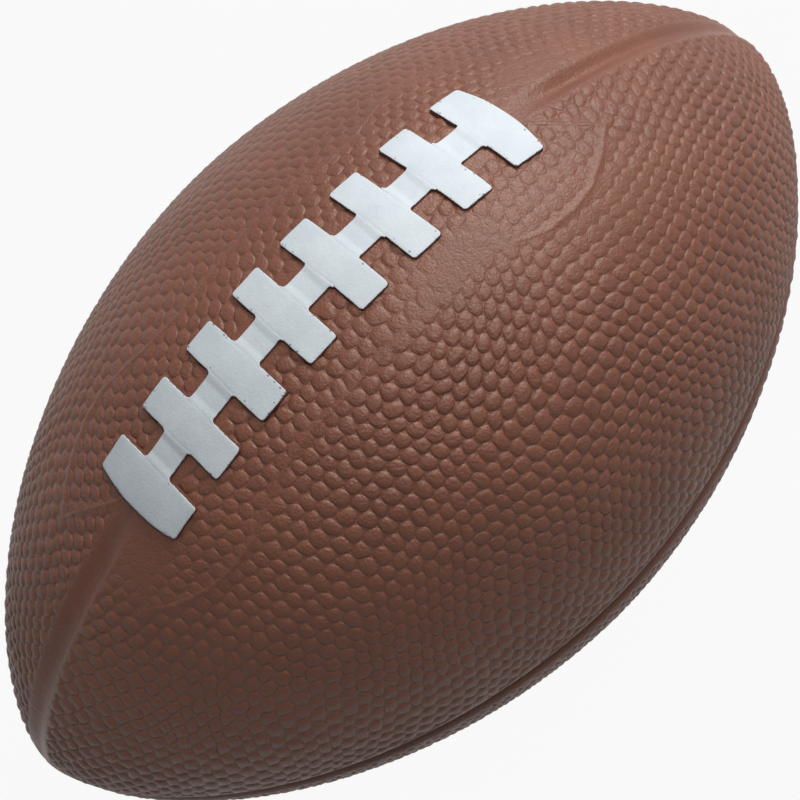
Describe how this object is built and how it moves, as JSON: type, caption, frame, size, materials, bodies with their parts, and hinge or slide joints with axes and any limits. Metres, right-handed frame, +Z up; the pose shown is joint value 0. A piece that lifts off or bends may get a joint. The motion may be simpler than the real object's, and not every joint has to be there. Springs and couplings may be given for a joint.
{
  "type": "american football",
  "caption": "Moulded foam american football with a pebbled brown skin in grooved panels over a foam core and raised white lacing along the top.",
  "frame": {"origin": "under the middle of the ball, on the flattened face that it lies on", "axes": "+X along the ball from tip to tip, +Z up through the middle of the lacing, +Y to the left of +X"},
  "size_m": [0.216, 0.1286, 0.13],
  "materials": {
    "skin": "brown moulded foam skin with raised pebbles and a low sheen",
    "foam": "open pale foam",
    "lacing": "white coat over moulded foam, with small pinholes"
  },
  "bodies": {
    "root": {"foam_core": "foam", "skin_panel_upper_left": "skin", "skin_panel_upper_right": "skin", "skin_panel_lower_left": "skin", "skin_panel_lower_right": "skin", "lace_spine": "lacing", "lace_bar_1": "lacing", "lace_bar_2": "lacing", "lace_bar_3": "lacing", "lace_bar_4": "lacing", "lace_bar_5": "lacing", "lace_bar_6": "lacing", "lace_bar_7": "lacing", "lace_bar_8": "lacing"}
  },
  "joints": []
}
